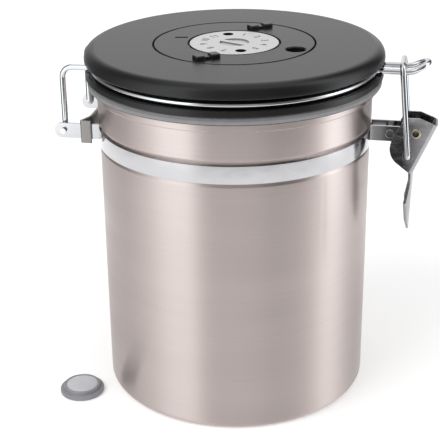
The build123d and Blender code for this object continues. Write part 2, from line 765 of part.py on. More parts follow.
def month_dial():
    """Light disc with finger holes, a grip bar in a recess and a grooved spigot below."""
    dial = turned([
        (0, retainer_low_z - spigot_tip_height, 0),
        (spigot_radius, retainer_low_z - spigot_tip_height, month_dial_corner),
        (spigot_radius, retainer_low_z, 0),
        (spigot_groove_radius, retainer_low_z, 0),
        (spigot_groove_radius, retainer_top_z, 0),
        (spigot_radius, retainer_top_z, 0),
        (spigot_radius, month_dial_low_z, 0),
        (month_dial_radius, month_dial_low_z, 0),
        (month_dial_radius, cover_top_z, month_dial_corner),
        (0, cover_top_z, 0),
    ])
    for angle in finger_hole_angles:
        x, y = polar(finger_hole_place_radius, angle)
        dial -= disc(finger_hole_radius, month_dial_low_z - overrun, cover_top_z + overrun, x, y)
    recess = disc(grip_recess_radius, cover_top_z - grip_recess_depth, cover_top_z + overrun)
    bar = Rot(0, 0, grip_angle) * Pos(0, 0, cover_top_z) * Box(
        3 * grip_recess_radius, grip_bar_width, 3 * grip_recess_depth)
    return dial - (recess - bar)


def dial_retainer():
    """Washer snapped into the spigot's groove, under the cover."""
    washer = disc(retainer_radius, retainer_low_z, retainer_top_z)
    washer -= disc(spigot_groove_radius, retainer_low_z - overrun, retainer_top_z + overrun)
    slit = Pos(retainer_radius, 0, retainer_low_z) * Box(
        2 * retainer_radius, spigot_groove_radius, 3 * retainer_thickness)
    return washer - slit


def valve_body():
    """Soft flange and collar of the one-way valve, standing on z = 0."""
    collar_top = valve_flange_height + valve_collar_height
    return turned([
        (valve_bore_radius, 0, 0),
        (valve_radius, 0, valve_corner),
        (valve_radius, valve_flange_height, valve_corner),
        (valve_collar_radius, valve_flange_height, valve_corner / 2),
        (valve_collar_radius, collar_top, valve_corner),
        (valve_collar_inner_radius, collar_top, valve_corner / 2),
        (valve_collar_inner_radius, dome_seat_height, 0),
        (valve_bore_radius, dome_seat_height, 0),
    ])


def valve_dome():
    """Elastic disc with a low crown, seated in the collar."""
    crown_top = dome_seat_height + dome_thickness + dome_crown
    ball_radius = (dome_radius ** 2 + dome_crown ** 2) / (2 * dome_crown)
    ball = Pos(0, 0, crown_top - ball_radius) * Sphere(ball_radius)
    return disc(dome_radius, dome_seat_height, crown_top) & ball


def valve_seat():
    """Floor of the plug, with vents and a collar that holds the valve."""
    seat = disc(plug_inner_radius - slip_gap, seat_low_z, seat_top_z)
    seat += disc(valve_radius + slip_gap + seat_collar_width, seat_low_z, seat_top_z + seat_collar_height)
    seat -= disc(valve_radius + slip_gap, seat_top_z, seat_top_z + seat_collar_height + overrun)
    for number in range(vent_count):
        x, y = polar(vent_place_radius, 360 / vent_count * number)
        seat -= disc(vent_radius, seat_low_z - overrun, seat_top_z + overrun, x, y)
    return seat


def valve_guard():
    """Shallow perforated cup under the seat that keeps grounds off the valve."""
    low_z = seat_low_z - guard_depth
    guard = disc(guard_radius, low_z, seat_low_z)
    guard = fillet(guard.edges().sort_by(Axis.Z)[:1], guard_wall)
    guard -= disc(guard_radius - guard_wall, low_z + guard_wall, seat_low_z + overrun)
    for count, place in zip(guard_hole_counts, guard_hole_places):
        for number in range(count):
            x, y = polar(place, 360 / count * number)
            guard -= disc(guard_hole_radius, low_z - overrun, seat_low_z, x, y)
    return guard


def build():
    """Every piece under its node name."""
    front = neck_band_front()
    in_lid = Pos(0, 0, seat_top_z)
    spare_x, spare_y = polar(body_radius + spare_valve_gap + valve_radius, spare_valve_angle)
    beside = Pos(spare_x, spare_y, 0)
    return {
        "can_shell": can_shell(),
        "neck_band_front": front,
        "neck_band_rear": mirror(front, Plane.XZ),
        "hinge_tie_strap": hinge_tie_strap(),
        "arm_rivet": arm_rivet(),
        "arm_spacer": arm_spacer(),
        "lever_pivot_rivet": lever_pivot_rivet(),
        "lever": lever(),
        "link_eyelets": link_eyelets(),
        "clasp_link": clasp_link(),
        "lid_wire": lid_wire(),
        "lid_base": lid_base(),
        "gasket": gasket(),
        "lid_cover": lid_cover(),
        "lid_screws": lid_screws(),
        "date_ring": date_ring(),
        "thumb_nubs": thumb_nubs(),
        "month_dial": month_dial(),
        "dial_retainer": dial_retainer(),
        "valve_seat": valve_seat(),
        "valve_guard": valve_guard(),
        "valve_body": in_lid * valve_body(),
        "valve_dome": in_lid * valve_dome(),
        "spare_valve_body": beside * valve_body(),
        "spare_valve_dome": beside * valve_dome(),
    }


for name, piece in build().items():
    export_step(piece, f"parts/{name}.step")
    print(f"{name:20s} {piece.volume:10.1f} mm3")
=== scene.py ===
# %% [markdown]
# # A coffee canister with a clasp lid
# A drawn and brushed steel can, closed by a black plastic lid with two date dials. One bent wire holds the
# lid: it is the hinge at the left, a ring under the cap and the catch loop at the right. The metal parts
# come from the CAD model and keep its shape. Here they get their finishes, eased edges and a small studio.

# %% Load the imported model
import json
import math

import bpy
from mathutils import Matrix, Vector

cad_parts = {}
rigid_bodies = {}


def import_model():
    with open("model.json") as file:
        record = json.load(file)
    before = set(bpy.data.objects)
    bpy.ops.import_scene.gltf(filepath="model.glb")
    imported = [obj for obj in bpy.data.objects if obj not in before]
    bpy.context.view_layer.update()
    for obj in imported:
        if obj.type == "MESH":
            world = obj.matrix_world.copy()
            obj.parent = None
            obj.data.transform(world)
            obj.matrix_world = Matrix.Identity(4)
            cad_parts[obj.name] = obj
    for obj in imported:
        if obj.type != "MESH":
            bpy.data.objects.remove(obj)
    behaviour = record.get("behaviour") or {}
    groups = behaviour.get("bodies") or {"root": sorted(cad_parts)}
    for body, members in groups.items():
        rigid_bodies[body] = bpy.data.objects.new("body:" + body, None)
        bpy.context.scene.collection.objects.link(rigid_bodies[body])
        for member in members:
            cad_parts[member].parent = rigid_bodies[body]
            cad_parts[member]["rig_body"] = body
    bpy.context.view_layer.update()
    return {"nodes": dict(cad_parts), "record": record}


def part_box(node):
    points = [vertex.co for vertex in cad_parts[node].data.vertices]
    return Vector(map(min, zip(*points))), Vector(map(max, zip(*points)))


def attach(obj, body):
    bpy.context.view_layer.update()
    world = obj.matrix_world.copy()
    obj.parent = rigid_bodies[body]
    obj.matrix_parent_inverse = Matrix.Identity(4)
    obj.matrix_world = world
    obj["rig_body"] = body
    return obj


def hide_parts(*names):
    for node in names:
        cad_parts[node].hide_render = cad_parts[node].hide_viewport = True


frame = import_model()
nodes = frame["nodes"]
MM = 0.001

# %% [markdown]
# ## The camera
# The photograph was taken from a little above the lid, with a long lens. The place and the directions of
# the camera below were found by fitting the outlines of the lid, the bands and the base. The lens is given
# for a sensor 36 mm wide, which the square picture fills.

# %% Camera
CAMERA_PLACE = Vector((0.0894, -0.5068, 0.3007))
CAMERA_FORWARD = Vector((-0.1721, 0.9006, -0.3991)).normalized()
CAMERA_ROLL = math.radians(-0.69)
CAMERA_LENS_MM = 96.8
SENSOR_WIDTH_MM = 36
NEAREST_SEEN = 10 * MM

level_right = CAMERA_FORWARD.cross(Vector((0, 0, 1))).normalized()
level_up = level_right.cross(CAMERA_FORWARD)
camera_right = level_right * math.cos(CAMERA_ROLL) + level_up * math.sin(CAMERA_ROLL)
camera_up = level_up * math.cos(CAMERA_ROLL) - level_right * math.sin(CAMERA_ROLL)
camera_turn = Matrix((camera_right, camera_up, -CAMERA_FORWARD)).transposed().to_4x4()
bpy.ops.object.camera_add()
camera = bpy.context.object
camera.name = "camera"
camera.matrix_world = Matrix.Translation(CAMERA_PLACE) @ camera_turn
camera.data.lens = CAMERA_LENS_MM
camera.data.sensor_width = SENSOR_WIDTH_MM
camera.data.clip_start = NEAREST_SEEN
bpy.context.scene.camera = camera
bpy.context.scene.view_settings.view_transform = "Standard"
print("camera stands", round(CAMERA_PLACE.length, 3), "m from the middle of the base")

# %% [markdown]
# ## Helpers for finishes
# Colours are written as the hex values that a colour picker shows, and one function turns them to the
# linear light that the renderer works in. One more function adds a shader node, sets it and links it.
# Patterns read Object coordinates, divided by a real size, so that they keep that size on every piece.


# %% Colour and node helpers
def linear(hex_code):
    """Linear RGBA of an sRGB hex colour."""
    shares = [int(hex_code[place:place + 2], 16) / 255 for place in (0, 2, 4)]
    return tuple(s / 12.92 if s <= 0.04045 else ((s + 0.055) / 1.055) ** 2.4 for s in shares) + (1.0,)


def shader_node(tree, kind, inputs=None, stops=(), **settings):
    """Adds a node with its settings. An input is a value, or the output socket that feeds it. The stops
    of a ramp are pairs of a place and a colour, in order."""
    made = tree.nodes.new(kind)
    for name, value in settings.items():
        setattr(made, name, value)
    for name, value in (inputs or {}).items():
        if isinstance(value, bpy.types.NodeSocket):
            tree.links.new(value, made.inputs[name])
        else:
            made.inputs[name].default_value = value
    if stops:
        elements = made.color_ramp.elements
        for element, (place, colour) in zip((elements[0], elements[1]), (stops[0], stops[-1])):
            element.position = place
            element.color = colour
        for place, colour in stops[1:-1]:
            elements.new(place).color = colour
    return made


def new_finish(name, **sockets):
    """A material with its Principled shader, whose plain numbers and colours are set on its own sockets."""
    material = bpy.data.materials.new(name)
    material.use_nodes = True
    tree = material.node_tree
    shader = tree.nodes["Principled BSDF"]
    for socket, value in sockets.items():
        shader.inputs[socket.replace("_", " ")].default_value = value
    return material, tree, shader


def object_point(tree, scale):
    """Object coordinates times a scale per axis."""
    place = shader_node(tree, "ShaderNodeTexCoord")
    return shader_node(
        tree, "ShaderNodeMapping", {"Vector": place.outputs["Object"], "Scale": scale}).outputs["Vector"]


MIX_A, MIX_B, MIX_RESULT = 6, 7, 2
print("sockets of a Mix node that mixes colours:", MIX_A, MIX_B, "to", MIX_RESULT)

# %% [markdown]
# ## Brushed steel
# The can is drawn 18/8 stainless steel, brushed while it spins, so the scratches run round it. They
# spread a reflection up and down but hardly sideways, which is why the can shows upright bands of light
# with sharp edges. The shader does the same with its anisotropy, and long thin noise gives the scratches.
# Real scratches are about 0.1 mm apart: these are drawn about 0.3 mm apart, so that they just show.

# %% Brushed steel finish
GRAIN_PITCH = 0.3 * MM
GRAIN_LENGTH = 110 * MM
GRAIN_DARK, GRAIN_LIGHT = 0.3, 0.62
SCRATCH_STRENGTH = 0.02
SCRATCH_DEPTH = 0.02 * MM
CLOUDS_PER_METRE = (9, 9, 60)
NOISE_LOW, NOISE_HIGH = 0.3, 0.7
ACROSS_THE_GRAIN = 0.25


def brushed_steel(name, colour, dark_colour, roughness, anisotropy):
    """Stainless steel brushed round the Z axis."""
    material, tree, shader = new_finish(
        name, Metallic=1.0, Roughness=roughness, Anisotropic=anisotropy, Anisotropic_Rotation=ACROSS_THE_GRAIN)
    along = object_point(tree, (1 / GRAIN_LENGTH, 1 / GRAIN_LENGTH, 1 / GRAIN_PITCH))
    grain = shader_node(
        tree, "ShaderNodeTexNoise", {"Vector": along, "Scale": 1.0, "Detail": 4.0, "Roughness": 0.7})
    cloud = shader_node(tree, "ShaderNodeTexNoise", {
        "Vector": object_point(tree, CLOUDS_PER_METRE), "Scale": 1.0, "Detail": 2.0})
    tone = shader_node(
        tree, "ShaderNodeValToRGB", {"Fac": grain.outputs["Fac"]},
        stops=[(GRAIN_DARK, linear(dark_colour)), (GRAIN_LIGHT, linear(colour))])
    tree.links.new(tone.outputs["Color"], shader.inputs["Base Color"])
    spread = shader_node(tree, "ShaderNodeMapRange", {
        "Value": cloud.outputs["Fac"], "From Min": NOISE_LOW, "From Max": NOISE_HIGH,
        "To Min": roughness - 0.02, "To Max": roughness + 0.03})
    tree.links.new(spread.outputs["Result"], shader.inputs["Roughness"])
    bump = shader_node(tree, "ShaderNodeBump", {
        "Height": grain.outputs["Fac"], "Strength": SCRATCH_STRENGTH, "Distance": SCRATCH_DEPTH})
    tree.links.new(bump.outputs["Normal"], shader.inputs["Normal"])
    around = shader_node(tree, "ShaderNodeTangent", direction_type="RADIAL", axis="Z")
    tree.links.new(around.outputs["Tangent"], shader.inputs["Tangent"])
    return material


can_steel = brushed_steel("brushed_steel_spun", "cbbfbb", "c6b9b6", 0.36, 0.88)
print("finish:", can_steel.name)

# %% [markdown]
# ## Chrome and bright steel
# The neck band, the lever and the wires are mild steel with a thin chrome plate. Chrome is a little
# bluish and mirrors what stands round it, so most of its look is the studio. Faint wipe marks in the
# roughness keep it from looking like glass.

# %% Chrome finishes
MARK_FLATNESS = 3
MARK_LOW, MARK_HIGH = 0.35, 0.7
MARK_STRENGTH = 0.05
MARK_HEIGHT = 0.05 * MM


def polished_metal(name, colour, roughness, mark_size, mark_depth):
    """Plated or polished metal with faint wipe marks."""
    material, tree, shader = new_finish(name, Metallic=1.0, Base_Color=linear(colour), Roughness=roughness)
    marks = shader_node(tree, "ShaderNodeTexNoise", {
        "Vector": object_point(tree, (1 / mark_size, 1 / mark_size, MARK_FLATNESS / mark_size)),
        "Scale": 1.0, "Detail": 5.0, "Roughness": 0.6})
    spread = shader_node(tree, "ShaderNodeMapRange", {
        "Value": marks.outputs["Fac"], "From Min": MARK_LOW, "From Max": MARK_HIGH,
        "To Min": roughness, "To Max": roughness + mark_depth})
    tree.links.new(spread.outputs["Result"], shader.inputs["Roughness"])
    bump = shader_node(tree, "ShaderNodeBump", {
        "Height": marks.outputs["Fac"], "Strength": MARK_STRENGTH, "Distance": MARK_HEIGHT})
    tree.links.new(bump.outputs["Normal"], shader.inputs["Normal"])
    return material


BRASS = "d6c8b0"
band_chrome = polished_metal("chrome_plate_band", "c0bfc1", 0.12, 9 * MM, 0.05)
wire_chrome = polished_metal("chrome_plate_wire", "d3d5d8", 0.06, 6 * MM, 0.06)
lever_chrome = polished_metal("chrome_plate_lever", "a4a3a6", 0.11, 5 * MM, 0.22)
rivet_metal = polished_metal("steel_rivet", "b4b0ad", 0.16, 4 * MM, 0.08)
hollow_rivet = polished_metal("nickelled_brass_rivet", BRASS, 0.16, 4 * MM, 0.08)
screw_zinc = polished_metal("zinc_plated_screw", "b4b6b8", 0.30, 2 * MM, 0.12)
strap_steel = polished_metal("brushed_strap_steel", "8f8b89", 0.26, 3 * MM, 0.10)
print("bright metals made:", len((
    band_chrome, wire_chrome, lever_chrome, rivet_metal, hollow_rivet, screw_zinc, strap_steel)))

# %% [markdown]
# The lever turns on a hollow rivet of nickelled brass, so its rolled end is a little warm. Its bore gets a
# painted shade, near black. A mask by the distance from the rivet's axis parts the two, just outside the bore's
# edge.

# %% Hollow rivet's bore, with painted shade
RIVET_BORE = 1.3 * MM
BORE_EDGE = RIVET_BORE + 0.05 * MM
BRASS_FROM = RIVET_BORE + 0.2 * MM
# Painted shade: this near-black colour stands in for the shade inside the rivet's hollow.
BORE_PAINTED_SHADE = "231d18"
pivot_low, pivot_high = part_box("lever_pivot_rivet")
pivot_middle = (pivot_low + pivot_high) / 2
tree = hollow_rivet.node_tree
place = shader_node(tree, "ShaderNodeTexCoord")
from_axis = shader_node(tree, "ShaderNodeMapping", {
    "Vector": place.outputs["Object"], "Location": (-pivot_middle.x, 0, -pivot_middle.z), "Scale": (1, 0, 1)})
away = shader_node(tree, "ShaderNodeVectorMath", {0: from_axis.outputs["Vector"]}, operation="LENGTH")
rim = shader_node(tree, "ShaderNodeMapRange", {
    "Value": away.outputs["Value"], "From Min": BORE_EDGE, "From Max": BRASS_FROM})
# Brass on the rolled end, painted shade in the bore.
brass_and_painted_shade = shader_node(tree, "ShaderNodeMix", {
    "Factor": rim.outputs["Result"], MIX_A: linear(BORE_PAINTED_SHADE), MIX_B: linear(BRASS)}, data_type="RGBA")
tree.links.new(brass_and_painted_shade.outputs[MIX_RESULT], tree.nodes["Principled BSDF"].inputs["Base Color"])
print("hollow rivet at x, z in mm:", round(pivot_middle.x / MM, 1), round(pivot_middle.z / MM, 1))

# %% [markdown]
# ## Black plastic
# The cap, the lid's base and the date ring are moulded ABS from a spark-eroded mould, which leaves a very
# fine matt grain. It is near black, and it looks grey on top only because it mirrors the white room
# softly at a low angle. The thumb nubs and the valve's guard come from a smoother part of the mould.

# %% Plastic finishes
PLASTIC_SPREAD = 0.04
GRAIN_HEIGHT = 0.03 * MM


def moulded_plastic(name, colour, roughness, grain, depth, specular=0.5):
    """Moulded plastic with a fine grain of a given size."""
    material, tree, shader = new_finish(
        name, Base_Color=linear(colour), Roughness=roughness, Specular_IOR_Level=specular)
    speck = shader_node(tree, "ShaderNodeTexNoise", {
        "Vector": object_point(tree, (1 / grain,) * 3), "Scale": 1.0, "Detail": 3.0})
    spread = shader_node(tree, "ShaderNodeMapRange", {
        "Value": speck.outputs["Fac"], "From Min": NOISE_LOW, "From Max": NOISE_HIGH,
        "To Min": roughness - PLASTIC_SPREAD, "To Max": roughness + PLASTIC_SPREAD})
    tree.links.new(spread.outputs["Result"], shader.inputs["Roughness"])
    bump = shader_node(tree, "ShaderNodeBump", {
        "Height": speck.outputs["Fac"], "Strength": depth, "Distance": GRAIN_HEIGHT})
    tree.links.new(bump.outputs["Normal"], shader.inputs["Normal"])
    return material


DIAL_PAINT = "c5c5c6"
cap_black = moulded_plastic("abs_spark_eroded_black", "131113", 0.31, 0.5 * MM, 0.12, 0.38)
nub_black = moulded_plastic("abs_satin_black", "141415", 0.30, 0.8 * MM, 0.05)
dial_white = moulded_plastic("abs_satin_white", DIAL_PAINT, 0.38, 0.9 * MM, 0.05)
print("plastics made:", cap_black.name, nub_black.name, dial_white.name)

# %% [markdown]
# The walls of the dial's grip recess and finger holes are painted darker, as painted shade where it falls
# in those hollows. A mask by the steepness of the surface finds those walls. Those further from the dial's
# middle than the recess reaches are in the finger holes, which get the darkest painted shade.

# %% Painted shade on the walls in the dial
WALL_STEEPNESS = 0.6
HOLE_DISTANCE = 10 * MM
RECESS_WALL_SHADE, HOLE_WALL_SHADE = "808081", "101011"
tree = dial_white.node_tree
place = shader_node(tree, "ShaderNodeTexCoord")
facing = shader_node(tree, "ShaderNodeSeparateXYZ", {"Vector": place.outputs["Normal"]})
upright = shader_node(
    tree, "ShaderNodeMath", {0: facing.outputs["Z"], 1: WALL_STEEPNESS}, operation="LESS_THAN")
flat_place = shader_node(tree, "ShaderNodeMapping", {"Vector": place.outputs["Object"], "Scale": (1, 1, 0)})
away = shader_node(tree, "ShaderNodeVectorMath", {0: flat_place.outputs["Vector"]}, operation="LENGTH")
in_holes = shader_node(
    tree, "ShaderNodeMath", {0: away.outputs["Value"], 1: HOLE_DISTANCE}, operation="GREATER_THAN")
# Painted shade: the recess walls are mid grey and the finger holes' walls near black.
painted_wall_shade = shader_node(tree, "ShaderNodeMix", {
    "Factor": in_holes.outputs["Value"], MIX_A: linear(RECESS_WALL_SHADE), MIX_B: linear(HOLE_WALL_SHADE)}, data_type="RGBA")
paint_and_wall_shade = shader_node(tree, "ShaderNodeMix", {
    "Factor": upright.outputs["Value"], MIX_A: linear(DIAL_PAINT), MIX_B: painted_wall_shade.outputs[MIX_RESULT]},
    data_type="RGBA")
tree.links.new(paint_and_wall_shade.outputs[MIX_RESULT], tree.nodes["Principled BSDF"].inputs["Base Color"])
print("walls darker past a steepness of", WALL_STEEPNESS)

# %% [markdown]
# ## Silicone
# The gasket and the valve are moulded silicone. It is matt and slightly cloudy, so two close greys follow
# a soft noise, and its shine is weaker than that of plastic.

# %% Silicone finishes
CLOUD_SIZE = 5 * MM
CLOUD_DARK, CLOUD_PALE = 0.35, 0.7
CLOUD_STRENGTH = 0.1
CLOUD_HEIGHT = 0.05 * MM


def silicone(name, colour, pale_colour, roughness):
    """Filled silicone rubber with faint clouds."""
    material, tree, shader = new_finish(name, Roughness=roughness, Specular_IOR_Level=0.4)
    cloud = shader_node(tree, "ShaderNodeTexNoise", {
        "Vector": object_point(tree, (1 / CLOUD_SIZE,) * 3), "Scale": 1.0, "Detail": 4.0})
    tone = shader_node(
        tree, "ShaderNodeValToRGB", {"Fac": cloud.outputs["Fac"]},
        stops=[(CLOUD_DARK, linear(colour)), (CLOUD_PALE, linear(pale_colour))])
    tree.links.new(tone.outputs["Color"], shader.inputs["Base Color"])
    bump = shader_node(tree, "ShaderNodeBump", {
        "Height": cloud.outputs["Fac"], "Strength": CLOUD_STRENGTH, "Distance": CLOUD_HEIGHT})
    tree.links.new(bump.outputs["Normal"], shader.inputs["Normal"])
    return material


gasket_grey = silicone("silicone_gasket_grey", "858587", "8d8d8f", 0.5)
valve_grey = silicone("silicone_valve_grey", "8b8b90", "949498", 0.55)
dome_grey = silicone("silicone_dome_pale", "c0c0c4", "c9c9cc", 0.30)
print("silicones made:", gasket_grey.name, valve_grey.name, dome_grey.name)

# %% [markdown]
# A ramp over the object's Z paints light and shade on the gasket: a thin dark line of painted shade at its foot,
# where it meets the steel rim, a pale band of painted highlight just above it, and a darker upper part. So the
# ramp darkens the clouds more or less on the way up.

# %% Painted highlight and shade on the gasket
gasket_low, gasket_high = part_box("gasket")
# Painted shade at the foot, a painted highlight band above it, and the upper part darker.
GASKET_LIGHT_AND_SHADE_STOPS = [(0.0, 0.16), (0.10, 0.18), (0.15, 1.0), (0.48, 0.95), (0.56, 0.68), (1.0, 0.66)]
tree = gasket_grey.node_tree
place = shader_node(tree, "ShaderNodeTexCoord")
height = shader_node(tree, "ShaderNodeSeparateXYZ", {"Vector": place.outputs["Object"]})
share = shader_node(tree, "ShaderNodeMapRange", {
    "Value": height.outputs["Z"], "From Min": gasket_low.z, "From Max": gasket_high.z})
painted_light_ramp = shader_node(
    tree, "ShaderNodeValToRGB", {"Fac": share.outputs["Result"]},
    stops=[(stop, (level, level, level, 1)) for stop, level in GASKET_LIGHT_AND_SHADE_STOPS])
shader = tree.nodes["Principled BSDF"]
clouds = shader.inputs["Base Color"].links[0].from_socket
clouds_with_painted_light = shader_node(tree, "ShaderNodeMix", {
    "Factor": 1.0, MIX_A: clouds, MIX_B: painted_light_ramp.outputs["Color"]}, data_type="RGBA", blend_type="MULTIPLY")
tree.links.new(clouds_with_painted_light.outputs[MIX_RESULT], shader.inputs["Base Color"])
print("gasket from", round(gasket_low.z / MM, 1), "to", round(gasket_high.z / MM, 1), "mm")

# %% [markdown]
# ## Finishes on the CAD pieces
# The record names a finish for each piece, and each CAD node takes the material that stands for it. Two
# pieces take another one: the hollow rivet is brass, and the eyelets were plated together with the lever.

# %% Give every CAD piece its finish
finish_of = {
    "brushed_steel": can_steel, "chrome_band": band_chrome, "brushed_strap": strap_steel,
    "rivet_steel": rivet_metal, "chrome_lever": lever_chrome, "chrome_wire": wire_chrome,
    "black_plastic": cap_black, "nub_plastic": nub_black, "light_plastic": dial_white,
    "grey_silicone": gasket_grey, "valve_silicone": valve_grey, "dome_silicone": dome_grey,
    "screw_steel": screw_zinc,
}
finish_of_node = {"lever_pivot_rivet": hollow_rivet, "link_eyelets": lever_chrome}
slot_of = {part["node"]: part["material_slot"] for part in frame["record"]["subparts"]}
for name, piece in nodes.items():
    piece.data.materials.clear()
    piece.data.materials.append(finish_of_node.get(name, finish_of[slot_of[name]]))
    for face in piece.data.polygons:
        face.material_index = 0
print("finishes given to", len(nodes), "pieces")

# %% [markdown]
# ## Eased edges
# Pressed steel has a small round on every cut edge, and a chrome plate makes it shine. A copy of the CAD
# piece has its triangles merged back into flat faces, and then a narrow bevel runs along its sharp edges.
# Normals weighted by area follow the large faces, so that a mirror of chrome stays flat beside its bevel.

# %% Copies with eased edges
MERGE_DISTANCE = 0.002 * MM
FLAT_WITHIN = math.radians(0.4)
SHARP_FROM = math.radians(40)
EASE_SEGMENTS = 2
PLAIN_AREA_WEIGHT = 50
EASE_WIDTH = {
    "lever": 0.16 * MM, "neck_band_front": 0.16 * MM, "neck_band_rear": 0.16 * MM,
    "hinge_tie_strap": 0.15 * MM,
}


def eased_copy(name, width):
    """Replaces a CAD node by a copy of the same shape whose sharp edges have a narrow round."""
    source = nodes[name]
    piece = bpy.data.objects.new(name + "_eased", source.data.copy())
    bpy.context.collection.objects.link(piece)
    bpy.ops.object.select_all(action="DESELECT")
    piece.select_set(True)
    bpy.context.view_layer.objects.active = piece
    bpy.ops.object.mode_set(mode="EDIT")
    bpy.ops.mesh.select_all(action="SELECT")
    bpy.ops.mesh.remove_doubles(threshold=MERGE_DISTANCE)
    bpy.ops.mesh.customdata_custom_splitnormals_clear()
    bpy.ops.mesh.dissolve_limited(angle_limit=FLAT_WITHIN)
    bpy.ops.object.mode_set(mode="OBJECT")
    bevel = piece.modifiers.new("ease", "BEVEL")
    bevel.width = width
    bevel.segments = EASE_SEGMENTS
    bevel.limit_method = "ANGLE"
    bevel.angle_limit = SHARP_FROM
    bevel.use_clamp_overlap = True
    bpy.ops.object.modifier_apply(modifier="ease")
    bpy.ops.object.shade_smooth_by_angle(angle=SHARP_FROM)
    weigh = piece.modifiers.new("flat_faces_lead", "WEIGHTED_NORMAL")
    weigh.mode = "FACE_AREA"
    weigh.weight = PLAIN_AREA_WEIGHT
    weigh.keep_sharp = True
    bpy.ops.object.modifier_apply(modifier="flat_faces_lead")
    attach(piece, source["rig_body"])
    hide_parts(name)
    print(piece.name, len(piece.data.polygons), "faces")


for name, width in EASE_WIDTH.items():
    eased_copy(name, width)

# %% [markdown]
# ## The numbers on the month dial
# The light dial has the numbers 1 to 11 printed round it, except where the two finger holes take the
# places of 6 and 12. Type is set as text, made a mesh and laid on the dial as a thin film of ink.

# %% Dial numbers
dial_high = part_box("month_dial")[1]
NUMBERS = (1, 2, 3, 4, 5, 7, 8, 9, 10, 11)
NUMBER_RADIUS = 13.7 * MM
NUMBER_SIZE = 4.6 * MM
STROKE_SPREAD = 0.10 * MM
INK_THICKNESS = 0.03 * MM
CURVE_STEPS = 4
TWELVE_ANGLE = 111
NUMBER_STEP = 30
ink = new_finish("screen_print_ink", Base_Color=linear("545557"), Roughness=0.45)[0]
digits = []
for number in NUMBERS:
    angle = math.radians(TWELVE_ANGLE - NUMBER_STEP * number)
    bpy.ops.object.select_all(action="DESELECT")
    bpy.ops.object.text_add()
    digit = bpy.context.object
    digit.data.body = str(number)
    digit.data.size = NUMBER_SIZE
    digit.data.align_x = "CENTER"
    digit.data.align_y = "CENTER"
    digit.data.extrude = INK_THICKNESS
    digit.data.offset = STROKE_SPREAD
    digit.data.resolution_u = CURVE_STEPS
    bpy.ops.object.convert(target="MESH")
    digit.data.transform(
        Matrix.Translation((NUMBER_RADIUS * math.cos(angle), NUMBER_RADIUS * math.sin(angle), dial_high.z))
        @ Matrix.Rotation(angle - math.radians(90), 4, "Z"))
    digits.append(digit)
bpy.ops.object.select_all(action="DESELECT")
for digit in digits:
    digit.select_set(True)
bpy.context.view_layer.objects.active = digits[0]
bpy.ops.object.join()
dial_numbers = bpy.context.object
dial_numbers.name = "dial_numbers"
dial_numbers.data.materials.clear()
dial_numbers.data.materials.append(ink)
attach(dial_numbers, "month_dial")
print("numbers printed:", len(NUMBERS), "faces:", len(dial_numbers.data.polygons))

# %% [markdown]
# ## The studio
# A white floor in a white room. The floor takes the object's soft shadow, and a little light of its own
# lifts it to the white of the room wherever the camera sees it. Mirrors skip it, because the cards that
# come next stand in its place there.


# %% Floor
def seen_directly(tree):
    """One for what the camera sees, also by way of a mirror or through glass, and zero for soft light."""
    path = shader_node(tree, "ShaderNodeLightPath")
    seen = shader_node(tree, "ShaderNodeMath", {
        0: path.outputs["Is Camera Ray"], 1: path.outputs["Is Glossy Ray"]}, operation="MAXIMUM")
    seen = shader_node(tree, "ShaderNodeMath", {
        0: seen.outputs["Value"], 1: path.outputs["Is Transmission Ray"]}, operation="MAXIMUM")
    return seen.outputs["Value"]


WHITE = (1, 1, 1, 1)
FLOOR_WHITE = (0.93, 0.93, 0.93, 1)
FLOOR_REACH = 6.0
FLOOR_LIFT = 0.22
bpy.ops.object.select_all(action="DESELECT")
bpy.ops.mesh.primitive_plane_add(size=FLOOR_REACH)
floor = bpy.context.object
floor.name = "floor"
floor_paint, tree, shader = new_finish(
    "white_floor", Base_Color=FLOOR_WHITE, Roughness=0.9, Specular_IOR_Level=0.1)
lift = shader_node(tree, "ShaderNodeMapRange", {"Value": seen_directly(tree), "To Max": FLOOR_LIFT})
lifted = shader_node(tree, "ShaderNodeEmission", {"Color": WHITE, "Strength": lift.outputs["Result"]})
both = shader_node(
    tree, "ShaderNodeAddShader", {0: shader.outputs["BSDF"], 1: lifted.outputs["Emission"]})
tree.links.new(both.outputs["Shader"], tree.nodes["Material Output"].inputs["Surface"])
floor.data.materials.append(floor_paint)
floor.visible_glossy = False
print("floor reaches", FLOOR_REACH / 2, "m from the middle")

# %% [markdown]
# ## Cards for the reflections
# Metal shows what stands round it. So a ring of cards that only reflections see stands round the can:
# white where the photograph shows a bright band on the steel, and grey where it shows a dark one. Each
# card is a light whose level goes by its place, from a list of angles or shares and levels.

# %% Paint of the cards
BRIGHT_FROM = 1.5
COOL_RED = 0.95
ROUND_THE_CAN = (-math.pi, math.pi)


def card_colour(level):
    """Grey of a card. The bright ones are lit by a cooler lamp."""
    red = COOL_RED * level if level > BRIGHT_FROM else level
    return red, level, level, 1


def card_paint(name, stops, span, by_angle=False):
    """Light whose level goes along X, or by the angle round the can. Stops are shares of the span."""
    paint = bpy.data.materials.new(name)
    paint.use_nodes = True
    tree = paint.node_tree
    tree.nodes.clear()
    place = shader_node(tree, "ShaderNodeTexCoord")
    axes = shader_node(tree, "ShaderNodeSeparateXYZ", {"Vector": place.outputs["Object"]})
    along = axes.outputs["X"]
    if by_angle:
        along = shader_node(
            tree, "ShaderNodeMath", {0: axes.outputs["Y"], 1: along}, operation="ARCTAN2").outputs["Value"]
    share = shader_node(tree, "ShaderNodeMapRange", {"Value": along, "From Min": span[0], "From Max": span[1]})
    ramp = shader_node(
        tree, "ShaderNodeValToRGB", {"Fac": share.outputs["Result"]},
        stops=[(stop, card_colour(level)) for stop, level in stops])
    glow = shader_node(tree, "ShaderNodeEmission", {"Color": ramp.outputs["Color"], "Strength": 1.0})
    shader_node(tree, "ShaderNodeOutputMaterial", {"Surface": glow.outputs["Emission"]})
    return paint


